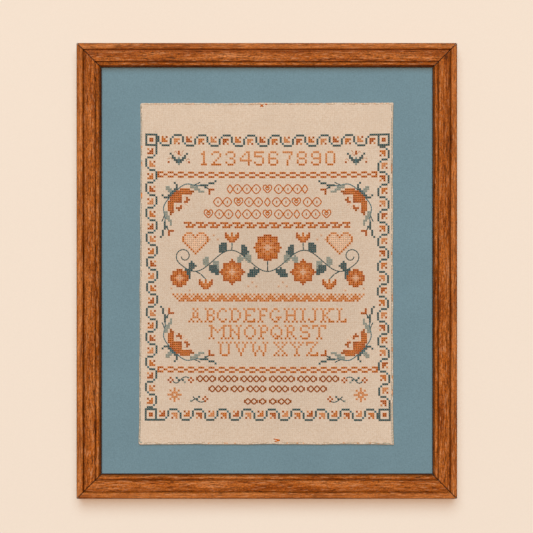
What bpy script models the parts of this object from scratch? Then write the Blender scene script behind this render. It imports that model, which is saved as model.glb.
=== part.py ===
"""Framed cross stitch sampler: stained oak moulding, blue mount board and evenweave cloth.

Units are metres. +Z is up, the front faces -Y, and the origin is the middle of the
back face of the top rail, where the frame meets the wall that it hangs on.
"""

import math

import bmesh
import bpy
from mathutils import Matrix, Vector

# Gap between touching pieces
GAP = 0.0003

# Frame
FRAME_WIDTH = 0.3382
FRAME_HEIGHT = 0.4052
RAIL_WIDTH = 0.0215
RAIL_DEPTH = 0.0190
LIP_WIDTH = 0.0060  # how far the lip reaches over the board
RABBET_DEPTH = 0.0095  # from the back face to the underside of the lip

# Moulding section: distance from the outer edge, height above the back face
OUTER_BEAD_WIDTH = 0.0057
OUTER_BEAD_FOOT = 0.0158
OUTER_GROOVE_WIDTH = 0.0009
OUTER_GROOVE_FLOOR = 0.0148
BAND_END = 0.0159
BAND_LOW = 0.0154
BAND_HIGH = 0.0163
INNER_GROOVE_WIDTH = 0.0011
INNER_GROOVE_FLOOR = 0.0150
INNER_BEAD_WIDTH = 0.0026
INNER_BEAD_CROWN = 0.0009
SIGHT_STEP = 0.0013  # drop just inside the inner bead
SIGHT_EDGE_HEIGHT = 0.0122

# Mount board
BOARD_THICKNESS = 0.0030

# Cloth: its corners are measured from the middle of the frame
CLOTH_THICKNESS = 0.0020
CLOTH_EDGE_ROUND = 0.0006
CLOTH_CORNERS = (
    # name, x, z, corner radius
    ("bottom_left", -0.1148, -0.1554, 0.0026),
    ("bottom_right", 0.1137, -0.1554, 0.0010),
    ("top_right", 0.1134, 0.1505, 0.0014),
    ("top_left", -0.1132, 0.1501, 0.0024),
)
EDGE_STEP = 0.0060  # spacing of the points along a cloth edge
EDGE_WAVES = (
    # length of the wave, height of the wave, start
    (0.0710, 0.00016, 0.4),
    (0.0330, 0.00010, 1.9),
    (0.0170, 0.00006, 4.1),
)
CORNER_SEGMENTS = 4

# Places worked out from the sizes
BACK_FACE_WIDTH = RAIL_WIDTH - LIP_WIDTH
FRAME_MIDDLE = Vector((0.0, 0.0, BACK_FACE_WIDTH / 2 - FRAME_HEIGHT / 2))
BOARD_FRONT = RABBET_DEPTH - GAP
CLOTH_BACK = BOARD_FRONT + GAP


def clear_scene():
    for thing in list(bpy.data.objects):
        bpy.data.objects.remove(thing, do_unlink=True)


def make_material(name, colour, roughness):
    material = bpy.data.materials.new(name)
    material.use_nodes = True
    shader = material.node_tree.nodes["Principled BSDF"]
    shader.inputs["Base Color"].default_value = (*colour, 1.0)
    shader.inputs["Roughness"].default_value = roughness
    shader.inputs["Metallic"].default_value = 0.0
    return material


def add_object(name, mesh_edit, material):
    """Closes a bmesh into an object with its faces pointing out."""
    bmesh.ops.recalc_face_normals(mesh_edit, faces=mesh_edit.faces)
    mesh = bpy.data.meshes.new(name)
    mesh_edit.to_mesh(mesh)
    mesh_edit.free()
    mesh.materials.append(material)
    thing = bpy.data.objects.new(name, mesh)
    bpy.context.scene.collection.objects.link(thing)
    return thing


def bead(start, width, foot, crown, segments):
    """Half round from start to start + width, that rises by crown above its foot."""
    points = []
    for step in range(segments + 1):
        angle = math.pi * (1 - step / segments)
        across = start + width / 2 * (1 + math.cos(angle))
        points.append((across, foot + crown * math.sin(angle)))
    return points


def moulding_section():
    """The rail's section, as (distance from the outer edge, height above the back)."""
    outline = [(0.0, 0.0)]
    outline += bead(0.0, OUTER_BEAD_WIDTH, OUTER_BEAD_FOOT, RAIL_DEPTH - OUTER_BEAD_FOOT, 12)

    # Outer groove, then the broad band, which rises in a soft curve to the inner groove
    band_start = OUTER_BEAD_WIDTH + OUTER_GROOVE_WIDTH
    outline.append((OUTER_BEAD_WIDTH + OUTER_GROOVE_WIDTH * 0.4, OUTER_GROOVE_FLOOR))
    band_steps = 8
    for step in range(band_steps + 1):
        share = step / band_steps
        across = band_start + (BAND_END - band_start) * share
        rise = (BAND_HIGH - BAND_LOW) * math.sin(share * math.pi / 2)
        outline.append((across, BAND_LOW + rise))

    # Inner groove and inner bead
    bead_start = BAND_END + INNER_GROOVE_WIDTH
    outline.append((BAND_END + INNER_GROOVE_WIDTH * 0.5, INNER_GROOVE_FLOOR))
    outline += bead(bead_start, INNER_BEAD_WIDTH, BAND_LOW, INNER_BEAD_CROWN, 8)

    # Step down to the sight edge, the lip and the rabbet
    bead_end = bead_start + INNER_BEAD_WIDTH
    outline.append((bead_end + (RAIL_WIDTH - bead_end) * 0.25, BAND_LOW - SIGHT_STEP))
    outline.append((RAIL_WIDTH, SIGHT_EDGE_HEIGHT))
    outline.append((RAIL_WIDTH, RABBET_DEPTH))
    outline.append((BACK_FACE_WIDTH, RABBET_DEPTH))
    outline.append((BACK_FACE_WIDTH, 0.0))
    return outline


def make_rail(name, length, turn, middle_distance, material):
    """One mitred length of moulding.

    It is drawn as a top rail, with its outer edge up and its back on the plane y = 0,
    then turned about the middle of the frame to its own side.
    """
    mitre_setback = GAP / math.sqrt(2)
    edit = bmesh.new()
    ring = [edit.verts.new((0.0, -height, -across)) for across, height in moulding_section()]
    end_face = edit.faces.new(ring)
    grown = bmesh.ops.extrude_face_region(edit, geom=[end_face])
    far_end = {item for item in grown["geom"] if isinstance(item, bmesh.types.BMVert)}
    for vert in edit.verts:
        across = -vert.co.z
        half_length = length / 2 - across - mitre_setback
        vert.co.x = half_length if vert in far_end else -half_length
        vert.co.z += middle_distance
    place = Matrix.Translation(FRAME_MIDDLE) @ Matrix.Rotation(turn, 4, "Y")
    edit.transform(place)
    return add_object(name, edit, material)


def make_frame(material):
    half_height = FRAME_HEIGHT / 2
    half_width = FRAME_WIDTH / 2
    rails = (
        # name, length, turn about the middle, distance of the outer edge
        ("frame_top", FRAME_WIDTH, 0.0, half_height),
        ("frame_right", FRAME_HEIGHT, math.pi / 2, half_width),
        ("frame_bottom", FRAME_WIDTH, math.pi, half_height),
        ("frame_left", FRAME_HEIGHT, -math.pi / 2, half_width),
    )
    for name, length, turn, distance in rails:
        make_rail(name, length, turn, distance, material)


def make_board(material):
    """The mount board, held in the rabbet behind the lip."""
    lost = 2 * (BACK_FACE_WIDTH + GAP)
    width = FRAME_WIDTH - lost
    height = FRAME_HEIGHT - lost
    middle = FRAME_MIDDLE + Vector((0.0, -(BOARD_FRONT - BOARD_THICKNESS / 2), 0.0))
    edit = bmesh.new()
    size = Matrix.Diagonal((width, BOARD_THICKNESS, height, 1.0))
    bmesh.ops.create_cube(edit, size=1.0, matrix=Matrix.Translation(middle) @ size)
    add_object("mat_board", edit, material)


def edge_wave(distance, side):
    """How far the cloth's edge strays outwards, at a distance along one of its sides."""
    stray = 0.0
    for length, height, start in EDGE_WAVES:
        stray += height * math.sin(2 * math.pi * distance / length + start + 1.7 * side)
    return stray


def corner_arc(corner, towards_last, towards_next, radius):
    """Points round one corner of the cloth, from the last edge to the next one."""
    start = corner + towards_last * radius
    end = corner + towards_next * radius
    points = []
    for step in range(CORNER_SEGMENTS + 1):
        share = step / CORNER_SEGMENTS
        before = start.lerp(corner, share)
        after = corner.lerp(end, share)
        points.append(before.lerp(after, share))
    return points


def cloth_outline():
    """The cloth's outline in x and z, anticlockwise from the front, with uneven edges."""
    corners = [Vector((x, z)) for _, x, z, _ in CLOTH_CORNERS]
    radii = [radius for _, _, _, radius in CLOTH_CORNERS]
    outline = []
    for side, corner in enumerate(corners):
        last_corner = corners[side - 1]
        next_corner = corners[(side + 1) % len(corners)]
        towards_last = (last_corner - corner).normalized()
        towards_next = (next_corner - corner).normalized()
        outline += corner_arc(corner, towards_last, towards_next, radii[side])

        # Uneven edge up to the next corner's arc
        outward = Vector((towards_next.y, -towards_next.x))
        edge_length = (next_corner - corner).length
        start = radii[side]
        run = edge_length - start - radii[(side + 1) % len(corners)]
        steps = round(run / EDGE_STEP)
        for step in range(1, steps):
            distance = start + run * step / steps
            fade = math.sin(math.pi * step / steps) ** 0.5
            stray = edge_wave(distance, side) * fade
            outline.append(corner + towards_next * distance + outward * stray)
    return outline


def make_cloth(material):
    """The stitched cloth: one flat sheet, with its front edge softly rounded."""
    edit = bmesh.new()
    ring = []
    for point in cloth_outline():
        place = FRAME_MIDDLE + Vector((point.x, -CLOTH_BACK, point.y))
        ring.append(edit.verts.new(place))
    back = edit.faces.new(ring)
    grown = bmesh.ops.extrude_face_region(edit, geom=[back])
    front = {item for item in grown["geom"] if isinstance(item, bmesh.types.BMVert)}
    for vert in front:
        vert.co.y -= CLOTH_THICKNESS
    rim = [edge for edge in edit.edges if all(vert in front for vert in edge.verts)]
    bmesh.ops.bevel(
        edit,
        geom=rim,
        offset=CLOTH_EDGE_ROUND,
        segments=2,
        profile=0.5,
        affect="EDGES",
        clamp_overlap=True,
    )
    add_object("sampler_cloth", edit, material)


def main():
    clear_scene()
    oak = make_material("stained_oak", (0.36, 0.12, 0.035), 0.45)
    board = make_material("blue_board", (0.17, 0.26, 0.30), 0.9)
    cloth = make_material("cream_cloth", (0.70, 0.52, 0.37), 0.9)
    make_frame(oak)
    make_board(board)
    make_cloth(cloth)


main()
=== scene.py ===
"""Looks of the framed cross stitch sampler: oak moulding, blue mount board and stitched cloth.

Units are metres. +Z is up and the stitched front faces -Y. The stitches are placed on a
grid of columns and rows, which is counted from the upper left corner of the border.
"""

import math
from itertools import zip_longest

import bpy
import numpy as np
from mathutils import Matrix, Vector, noise


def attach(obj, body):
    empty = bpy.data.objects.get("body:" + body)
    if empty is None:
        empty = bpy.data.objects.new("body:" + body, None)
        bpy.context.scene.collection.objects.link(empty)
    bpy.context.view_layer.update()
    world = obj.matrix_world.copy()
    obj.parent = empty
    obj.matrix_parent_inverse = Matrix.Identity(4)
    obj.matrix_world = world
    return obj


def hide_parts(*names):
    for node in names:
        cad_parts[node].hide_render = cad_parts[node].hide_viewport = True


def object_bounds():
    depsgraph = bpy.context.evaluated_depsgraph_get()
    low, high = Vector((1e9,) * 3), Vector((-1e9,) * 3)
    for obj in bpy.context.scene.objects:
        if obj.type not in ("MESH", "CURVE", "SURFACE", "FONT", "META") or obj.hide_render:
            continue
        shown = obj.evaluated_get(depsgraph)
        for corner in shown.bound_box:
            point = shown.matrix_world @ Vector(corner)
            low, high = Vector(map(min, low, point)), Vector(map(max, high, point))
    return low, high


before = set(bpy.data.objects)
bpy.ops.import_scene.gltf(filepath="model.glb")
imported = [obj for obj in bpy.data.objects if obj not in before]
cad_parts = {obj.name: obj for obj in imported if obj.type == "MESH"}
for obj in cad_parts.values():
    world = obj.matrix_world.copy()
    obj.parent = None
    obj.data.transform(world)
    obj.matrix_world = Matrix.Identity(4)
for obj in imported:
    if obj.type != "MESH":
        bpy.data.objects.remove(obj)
CAD_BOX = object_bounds()

# Frame sizes, as in the part's source
GAP = 0.0003
RAIL_WIDTH = 0.0215
RAIL_DEPTH = 0.0190
LIP_WIDTH = 0.0060
RABBET_DEPTH = 0.0095
OUTER_BEAD_WIDTH = 0.0057
OUTER_BEAD_FOOT = 0.0158
OUTER_GROOVE_WIDTH = 0.0009
OUTER_GROOVE_FLOOR = 0.0148
BAND_START = OUTER_BEAD_WIDTH + OUTER_GROOVE_WIDTH
BAND_END = 0.0159
BAND_LOW = 0.0154
BAND_HIGH = 0.0163
INNER_GROOVE_WIDTH = 0.0011
INNER_GROOVE_FLOOR = 0.0150
INNER_BEAD_WIDTH = 0.0026
INNER_BEAD_CROWN = 0.0009
SIGHT_STEP = 0.0013
SIGHT_EDGE_HEIGHT = 0.0122
SIGHT_EDGE_ROUND = 0.0004
OUTER_PROUD = 0.00025  # how far the finish stands out from the bare wood
OUTER_GROOVE = ((0.2, 0.0004), (0.45, 0.0), (0.75, 0.0002))  # share across, height above its floor
INNER_GROOVE = ((0.25, 0.0004), (0.5, 0.0), (0.8, 0.0001))
OUTER_BEAD_FULLNESS = 3.0
OUTER_BEAD_STEPS = 28
INNER_BEAD_STEPS = 12
BAND_STEPS = 16
RAIL_STATIONS = 190  # sections along one rail
RAIL_WAVER = 0.00007  # how far the worked surface strays from true
RAILS = (
    # name, CAD node, quarter turns, seed, painted shade in the outer groove (below zero painted light),
    # trim of the sight edge
    ("top", "frame_top", 0, 1.0, -0.95, 0.0007),
    ("right", "frame_right", 1, 2.0, 0.55, 0.0004),
    ("bottom", "frame_bottom", 2, 3.0, 0.15, 0.0),
    ("left", "frame_left", -1, 4.0, 0.50, 0.0),
)

# Places worked out from the CAD box
FRAME_WIDTH = CAD_BOX[1].x - CAD_BOX[0].x
FRAME_HEIGHT = CAD_BOX[1].z - CAD_BOX[0].z
MIDDLE = Vector((0.0, 0.0, (CAD_BOX[0].z + CAD_BOX[1].z) / 2))

# Cloth: its corners are measured from the middle of the frame
CLOTH_THICKNESS = 0.0020
CLOTH_BACK = RABBET_DEPTH
CLOTH_FRONT = CLOTH_BACK + CLOTH_THICKNESS
CLOTH_EDGE_ROUND = 0.0006
CLOTH_CORNERS = (
    # x, z and radius, anticlockwise from the bottom left
    (-0.1148, -0.1554, 0.0026),
    (0.1137, -0.1554, 0.0010),
    (0.1134, 0.1505, 0.0014),
    (-0.1132, 0.1501, 0.0024),
)
EDGE_WAVES = (
    # length of the wave, height of the wave, start
    (0.0710, 0.00016, 0.4),
    (0.0330, 0.00010, 1.9),
    (0.0170, 0.00006, 4.1),
)
EDGE_DRAWN_IN = (0.00045, 0.00085, 0.00030, 0.00070)  # between the corners, in the same order
UNDULATION = 0.00010  # how far the cloth lies from flat
HOLE_DEPTH = 0.00009  # dip where the holes of the weave are
BLOCK_CROWN = 0.00003  # rise in the middle of each block of the weave
THREADS_IN_BLOCK = 4.0

# Mesh lines of the cloth: both ends on the stitch grid, first line inside the rim, number of lines
RIM_STEPS = (0.0, 0.06, 0.16, 0.30)
COLUMN_LINES = (-2.8, 121.8, -2.0, 247)
ROW_LINES = (-14.7, 149.6, -14.0, 326)
SIDE_FADE = 2.0  # columns over which the grid bends to the cloth's edge
END_FADE = 8.0  # the same in rows

# Stitch grid: the border's corners, from the middle of the frame
COLUMNS = 120
ROWS = 138
GRID_TOP_LEFT = (-0.10856, 0.12286)
GRID_TOP_RIGHT = (0.10981, 0.12295)
GRID_BOTTOM_LEFT = (-0.10910, -0.13358)
GRID_BOTTOM_RIGHT = (0.11071, -0.13394)
CELL = 0.00183
GRID_LIE = (
    # row, left end to the right, right end to the right, ends down, middle down
    (0, 0.0000, 0.0000, 0.0000, 0.0012),
    (19, 0.0000, -0.0003, 0.0001, 0.0011),
    (43, 0.0003, -0.0005, 0.0004, 0.0013),
    (64, 0.0010, -0.0010, 0.0001, 0.0004),
    (79, 0.0010, -0.0013, -0.0002, -0.0003),
    (98, 0.0005, -0.0010, -0.0003, 0.0000),
    (113, 0.0003, -0.0004, -0.0004, 0.0003),
    (138, 0.0000, 0.0000, 0.0003, 0.0003),
)

# Thread
LEG_WIDTH = 0.00100
LEG_HEIGHT = 0.00030
LEG_INSET = 0.075  # share of a cell between a leg's end and the corner of its cell
LINE_HEIGHT = 0.00026
PLY_TURNS = 6.0  # slanted plies along one strand
PLY_SLANT = 1.5
LINE_WIDTHS = {"fine": 0.00056, "stem": 0.00094, "bold": 0.00098, "heavy": 0.00116}

# Thread colours in linear light, and how light the painted shade leaves each where it dips or is crossed
THREADS = {
    "dark_teal": ((0.036, 0.073, 0.071), 0.95),
    "blue_teal": ((0.045, 0.120, 0.132), 0.85),
    "grey_green": ((0.250, 0.260, 0.208), 0.90),
    "dark_rust": ((0.330, 0.074, 0.0005), 0.70),
    "rust": ((0.420, 0.086, 0.0005), 0.60),
    "burnt_orange": ((0.390, 0.090, 0.003), 0.65),
    "mid_orange": ((0.540, 0.150, 0.016), 0.62),
    "petal_orange": ((0.520, 0.135, 0.010), 0.40),
    "light_orange": ((0.575, 0.220, 0.072), 0.80),
    "peach": ((0.620, 0.350, 0.205), 0.80),
    "faded_orange": ((0.520, 0.260, 0.140), 0.90),
    "pale_peach": ((0.690, 0.450, 0.290), 0.70),
    "brown": ((0.235, 0.053, 0.002), 0.75),
    "cream": ((0.740, 0.600, 0.450), 0.90),
    "edge_tan_and_rim_shade": ((0.420, 0.310, 0.200), 0.80),
    "edge_grey": ((0.330, 0.310, 0.230), 0.80),
    "edge_dark_and_rim_shade": ((0.150, 0.165, 0.135), 0.80),
}

# Broken lines of needle marks and thread along the rim; the tan and dark lines also stand in for painted
# shade on the rim
EDGE_LINES = (
    # side, from the edge, width, dash, share covered, colour
    (3, 0.00105, 0.00050, 0.0030, 0.94, "edge_dark_and_rim_shade"),
    (3, 0.00040, 0.00050, 0.0026, 0.50, "edge_tan_and_rim_shade"),
    (2, 0.00050, 0.00060, 0.0026, 0.70, "pale_peach"),
    (2, 0.00150, 0.00050, 0.0030, 0.70, "edge_tan_and_rim_shade"),
    (2, 0.00100, 0.00060, 0.0028, 0.30, "peach"),
    (1, 0.00045, 0.00070, 0.0030, 0.92, "edge_tan_and_rim_shade"),
    (1, 0.00145, 0.00050, 0.0028, 0.88, "edge_dark_and_rim_shade"),
    (0, 0.00175, 0.00050, 0.0030, 0.55, "edge_tan_and_rim_shade"),
    (0, 0.00070, 0.00050, 0.0026, 0.40, "edge_tan_and_rim_shade"),
    (0, 0.00120, 0.00070, 0.0018, 0.07, "light_orange"),
)
EDGE_RUNS = (
    # side, from the edge, width, start and end as shares of the side, colour
    (0, 0.00120, 0.00060, 0.925, 0.940, "edge_grey"),
    (0, 0.00120, 0.00060, 0.955, 0.985, "edge_grey"),
    (1, 0.00090, 0.00055, 0.143, 0.163, "mid_orange"),
    (1, 0.00085, 0.00055, 0.192, 0.204, "mid_orange"),
    (1, 0.00095, 0.00060, 0.271, 0.286, "mid_orange"),
    (1, 0.00090, 0.00050, 0.324, 0.336, "mid_orange"),
    (1, 0.00085, 0.00060, 0.418, 0.441, "mid_orange"),
    (1, 0.00090, 0.00060, 0.554, 0.564, "mid_orange"),
    (1, 0.00095, 0.00055, 0.792, 0.822, "mid_orange"),
    (3, 0.00110, 0.00060, 0.125, 0.133, "mid_orange"),
    (3, 0.00100, 0.00060, 0.172, 0.187, "mid_orange"),
    (3, 0.00110, 0.00100, 0.262, 0.280, "mid_orange"),
)
EDGE_STRAY = 0.00012
EDGE_THREAD_HEIGHT = 0.00016
OVERCAST_PITCH = 0.0026
OVERCAST_REACH = 0.0010
OVERCAST_INSET = 0.00025
OVERCAST_LEAN = 0.0008
OVERCAST_UNEVEN = 0.0004
OVERCAST_WIDTH = 0.0009
OVERCAST_HEIGHT = 0.00014
EDGE_LIFT = 0.00008  # how far above the cloth's face these threads lie
RUN_LIFT = 0.00010

# Colours of wood, board, cloth and stage in linear light
# Pale specks painted as highlights on the finish
HIGHLIGHT_FLECK = (0.570, 0.240, 0.100)
PORE_AND_EDGE_SHADE = (0.045, 0.012, 0.003)
# Painted shade and painted light for the grooves
GROOVE_PAINTED_SHADE = (0.040, 0.010, 0.002)
GROOVE_PAINTED_LIGHT = (0.760, 0.330, 0.110)
BAND_SHADE = (0.080, 0.016, 0.001)
RUBBED_BEAD = (0.620, 0.225, 0.066)
SIDE_STAIN = (0.100, 0.030, 0.008)
MITRE_LINE = (0.020, 0.006, 0.002)
BOARD_FACE = (0.143, 0.222, 0.250)
BOARD_PULP = (0.520, 0.470, 0.380)
CLOTH_DARK = (0.562, 0.404, 0.282)
CLOTH_LIGHT = (0.670, 0.531, 0.406)
WALL_PAINT = (0.764, 0.636, 0.520)
FLOOR_PAINT = (0.86, 0.64, 0.47)
GRAIN_COLOURS = (
    # place among the streaks, colour
    (0.00, (0.120, 0.021, 0.0005)),
    (0.35, (0.258, 0.054, 0.0028)),
    (0.65, (0.372, 0.094, 0.0095)),
    (1.00, (0.485, 0.166, 0.0480)),
)

# Noise of the grain: scale along the rail, in depth and across it, then detail and roughness
WAVER = ((16.0, 40.0, 40.0), 1.0, 0.5)
BROAD_STREAKS = ((14.0, 150.0, 210.0), 2.0, 0.5)
NARROW_STREAKS = ((32.0, 520.0, 880.0), 3.0, 0.7)
FIBRES = ((650.0, 1100.0, 1350.0), 2.0, 0.6)
PORES = ((130.0, 900.0, 1300.0), 1.0, 0.5)

# Border
BORDER_DEPTH = 6
WAVE_PERIOD = 12
MOTIF_COLOURS = (
    # body, single accent stitch
    ("rust", "light_orange"),
    ("light_orange", "rust"),
    ("mid_orange", "dark_rust"),
)
MOTIF_CELLS = ((1, 1), (1, 3), (2, 1), (2, 2), (3, 1), (3, 2), (3, 3))  # along a bend, away from its run
ACCENT_CELL = (1, 3)
CORNER_SQUARE = (
    "tttttt",
    "t....t",
    "t.rr.t",
    "t.rr.t",
    "t....t",
    "tttttt",
)
WAVE = (
    # one turn of the meander, with the cloth's edge at the top
    "......tttt..",
    ".....t....b.",
    ".....t.....t",
    ".....t.....t",
    "....b......t",
    "tttt........",
)

# Chain bands, rope and slanted check band
CHAIN_ROWS = (18, 112)
CHAIN_LINKS = 22
LINK_LENGTH = 5
ROPE_START = 18.75
ROPE_TURNS = 14
ROPE = ((42, (0, 1, 2, 3)), (43, (2, 4, 5)), (44, (1, 2, 3, 4)))  # row, columns of one turn
CHECKS = ("m.l.l.", "lm.l.m", "mlm.ml", ".mlmlm")
CHECK_PLACE = (13, 77)
CHECK_COLUMNS = 95

# Stage and camera
STAGE_REACH = 3.0
FLOOR_BELOW = 0.20  # how far the floor lies below the frame
WALL_BEHIND = 0.0004
CAMERA_LENS = 120.0
CAMERA_DISTANCE = 1.598
CAMERA_X = -0.0003
CAMERA_ABOVE_MIDDLE = 0.0039


def noise_at(x, y, z):
    """Smooth noise from -1 to 1 with a period of about one."""
    return noise.noise(Vector((x, y, z)))


def add_object(name, data):
    thing = bpy.data.objects.new(name, data)
    bpy.context.scene.collection.objects.link(thing)
    return thing


def make_mesh(name, vertices, faces, material):
    mesh = bpy.data.meshes.new(name)
    mesh.from_pydata(vertices, [], faces)
    mesh.validate()
    mesh.materials.append(material)
    mesh.shade_smooth()
    return add_object(name, mesh)


def set_uvs(thing, name, uvs):
    """Gives a mesh a UV map from one pair of values for each vertex."""
    mesh = thing.data
    layer = mesh.uv_layers.new(name=name)
    corner_vertex = np.zeros(len(mesh.loops), np.int32)
    mesh.loops.foreach_get("vertex_index", corner_vertex)
    layer.data.foreach_set("uv", np.asarray(uvs, np.float32)[corner_vertex].ravel())


# Shader nodes


class Value:
    """The output of a node. Arithmetic with it adds further nodes to its look."""

    def __init__(self, look, socket):
        self.look = look
        self.socket = socket

    def calculated(self, operation, second=0.0, clamp=False):
        return self.look.calculate(operation, self, second, clamp)

    def __add__(self, other):
        return self.calculated("ADD", other)

    def __sub__(self, other):
        return self.calculated("SUBTRACT", other)

    def __rsub__(self, other):
        return self.look.calculate("SUBTRACT", other, self)

    def __mul__(self, other):
        return self.calculated("MULTIPLY", other)

    def __abs__(self):
        return self.calculated("ABSOLUTE")

    def remapped(self, low, high, new_low=0.0, new_high=1.0, smooth=False):
        """The value taken from low..high to new_low..new_high, and held within them."""
        inputs = {0: self, 1: low, 2: high, 3: new_low, 4: new_high}
        kind = "SMOOTHSTEP" if smooth else "LINEAR"
        return self.look.node("ShaderNodeMapRange", inputs, interpolation_type=kind)

    def parts(self):
        """The x, y and z of a vector."""
        node = self.look.node("ShaderNodeSeparateXYZ", {0: self}).socket.node
        return [Value(self.look, socket) for socket in node.outputs]


class Look:
    """A material, with short ways to add its nodes."""

    def __init__(self, name):
        self.material = bpy.data.materials.new(name)
        self.material.use_nodes = True
        self.tree = self.material.node_tree
        self.shader = self.tree.nodes["Principled BSDF"]

    def connect(self, node, inputs):
        """Sets inputs of a node. Each is a number, a colour, a vector or another node's output."""
        for name, value in inputs.items():
            socket = node.inputs[name]
            if isinstance(value, Value):
                self.tree.links.new(value.socket, socket)
            elif socket.type == "RGBA":
                socket.default_value = (*value, 1.0)
            else:
                socket.default_value = value

    def node(self, kind, inputs=None, output=0, **settings):
        """Adds a node, and returns one of its outputs."""
        node = self.tree.nodes.new(kind)
        for name, value in settings.items():
            setattr(node, name, value)
        self.connect(node, inputs or {})
        return Value(self, node.outputs[output])

    def calculate(self, operation, first, second=0.0, clamp=False):
        return self.node("ShaderNodeMath", {0: first, 1: second}, operation=operation, use_clamp=clamp)

    def mix(self, share, first, second, blend="MIX"):
        inputs = {0: share, 6: first, 7: second}
        return self.node("ShaderNodeMix", inputs, 2, data_type="RGBA", blend_type=blend)

    def noise(self, place, scale, detail=2.0, roughness=0.5, offset=(0.0, 0.0, 0.0)):
        """Noise with one scale, or with its own scale along each axis."""
        if isinstance(scale, tuple):
            place = self.node("ShaderNodeMapping", {"Vector": place, "Scale": scale, "Location": offset})
            scale = 1.0
        inputs = {"Vector": place, "Scale": scale, "Detail": detail, "Roughness": roughness}
        return self.node("ShaderNodeTexNoise", inputs, "Fac")

    def ramp(self, share, stops):
        colour = self.node("ShaderNodeValToRGB", {0: share})
        elements = colour.socket.node.color_ramp.elements
        while len(elements) < len(stops):
            elements.new(0.5)
        for element, (place, stop) in zip(elements, stops):
            element.position = place
            element.color = (*stop, 1.0)
        return colour

    def dress(self, colour, roughness, gloss, height=None, distance=0.0, strength=1.0):
        """Sets the shader's inputs, with a relief where there is a height."""
        inputs = {"Base Color": colour, "Roughness": roughness, "Specular IOR Level": gloss}
        if height is not None:
            relief = {"Height": height, "Distance": distance, "Strength": strength}
            inputs["Normal"] = self.node("ShaderNodeBump", relief)
        self.connect(self.shader, inputs)
        return self.material


# Materials


def oak_material(name, offset, length, groove_shade):
    """Stained oak. x runs along the rail and -z inwards.

    groove_shade is how much painted shade darkens the outer groove, or below zero how much painted light
    lifts it.
    """
    look = Look(name)
    place = look.node("ShaderNodeTexCoord", output="Object")
    along, _, up = place.parts()
    across = up * -1.0

    # The grain wavers slowly from side to side
    slow = look.noise(place, *WAVER, offset)
    shift = look.node("ShaderNodeCombineXYZ", {2: (slow - 0.5) * 0.006})
    place = look.node("ShaderNodeVectorMath", {0: place, 1: shift}, operation="ADD")

    # Broad streaks, narrow streaks, fibres and pores, and pale flecks painted as highlights
    broad = look.noise(place, *BROAD_STREAKS, offset)
    narrow = look.noise(place, *NARROW_STREAKS, offset)
    fibre = look.noise(place, *FIBRES, offset)
    pore_noise = look.noise(place, *PORES, offset)
    pores = pore_noise.remapped(0.60, 0.72, smooth=True)
    highlight_flecks = pore_noise.remapped(0.41, 0.30, smooth=True)
    streaks = (broad * 0.35 + narrow * 0.65).remapped(0.33, 0.67)
    colour = look.ramp(streaks, GRAIN_COLOURS)
    colour = look.mix(1.0, colour, fibre.remapped(0.3, 0.7, 0.46, 1.54), "MULTIPLY")
    layers = [(highlight_flecks * 0.60, HIGHLIGHT_FLECK), (pores * 0.75, PORE_AND_EDGE_SHADE)]

    # Painted shade darkens both grooves, and on the top rail painted light lifts the outer groove
    outer_groove = OUTER_BEAD_WIDTH + OUTER_GROOVE_WIDTH * 0.5
    inner_groove = BAND_END + INNER_GROOVE_WIDTH * 0.35
    for middle, reach, depth in ((outer_groove, 0.0007, groove_shade), (inner_groove, 0.0011, 0.75)):
        groove = abs(across - middle).remapped(0.0, reach, abs(depth), 0.0, smooth=True)
        groove = groove * narrow.remapped(0.30, 0.60, 1.0, 0.45)
        layers.append((groove, GROOVE_PAINTED_SHADE if depth > 0 else GROOVE_PAINTED_LIGHT))
    # Stain and painted shade darken the sight edge
    sight = across.remapped(RAIL_WIDTH - 0.0019, RAIL_WIDTH - 0.0003, 0.0, 0.92, smooth=True)
    layers.append((sight, PORE_AND_EDGE_SHADE))

    # The outer side of the band is darker, and handling has rubbed the outer bead lighter
    shaded = across.remapped(BAND_START, BAND_START + 0.0045, 0.24, 0.0)
    shaded = shaded * across.remapped(OUTER_BEAD_WIDTH, BAND_START)
    layers.append((shaded, BAND_SHADE))
    rubbed = across.remapped(OUTER_BEAD_WIDTH * 0.75, OUTER_BEAD_WIDTH, 0.22, 0.0, smooth=True)
    rubbed = rubbed * broad.remapped(0.30, 0.60, 0.35, 1.0)
    layers.append((rubbed, RUBBED_BEAD))

    # The outer side has taken more stain, and the mitre shows as a thin dark line
    layers.append((across.remapped(-OUTER_PROUD, 0.0003, 0.70, 0.0), SIDE_STAIN))
    to_mitre = length / 2 - (abs(along) + across)
    layers.append((to_mitre.remapped(0.0003, 0.0010, 0.82, 0.0, smooth=True), MITRE_LINE))
    for share, stain in layers:
        colour = look.mix(share, colour, stain)

    relief = narrow - pores * 0.8 + fibre * 0.35
    return look.dress(colour, streaks.remapped(0.0, 1.0, 0.66, 0.50), 0.08, relief, 0.00035, 0.8)


def board_material():
    """Matt blue paper face, with the plain pulp core showing at the back and edges."""
    look = Look("blue_mount_board")
    place = look.node("ShaderNodeNewGeometry", output="Position")
    facing = look.node("ShaderNodeNewGeometry", output="Normal").parts()[1]
    cloudy = look.noise(place, 22.0, 3.0)
    flock = look.noise(place, 900.0, 3.0, 0.7)
    shade = cloudy.remapped(0.3, 0.7, 0.97, 1.03) * flock.remapped(0.28, 0.72, 0.87, 1.13)
    # Painted shade: the face grows darker towards the bottom
    shade = shade * place.parts()[2].remapped(CAD_BOX[0].z, CAD_BOX[1].z, 0.93, 1.0)
    face = look.mix(1.0, BOARD_FACE, shade, "MULTIPLY")
    pulp = look.mix(1.0, BOARD_PULP, shade, "MULTIPLY")
    colour = look.mix(facing.remapped(-0.9, -0.5, 1.0, 0.0), pulp, face)
    return look.dress(colour, 0.92, 0.25, flock, 0.00006, 0.6)


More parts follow.
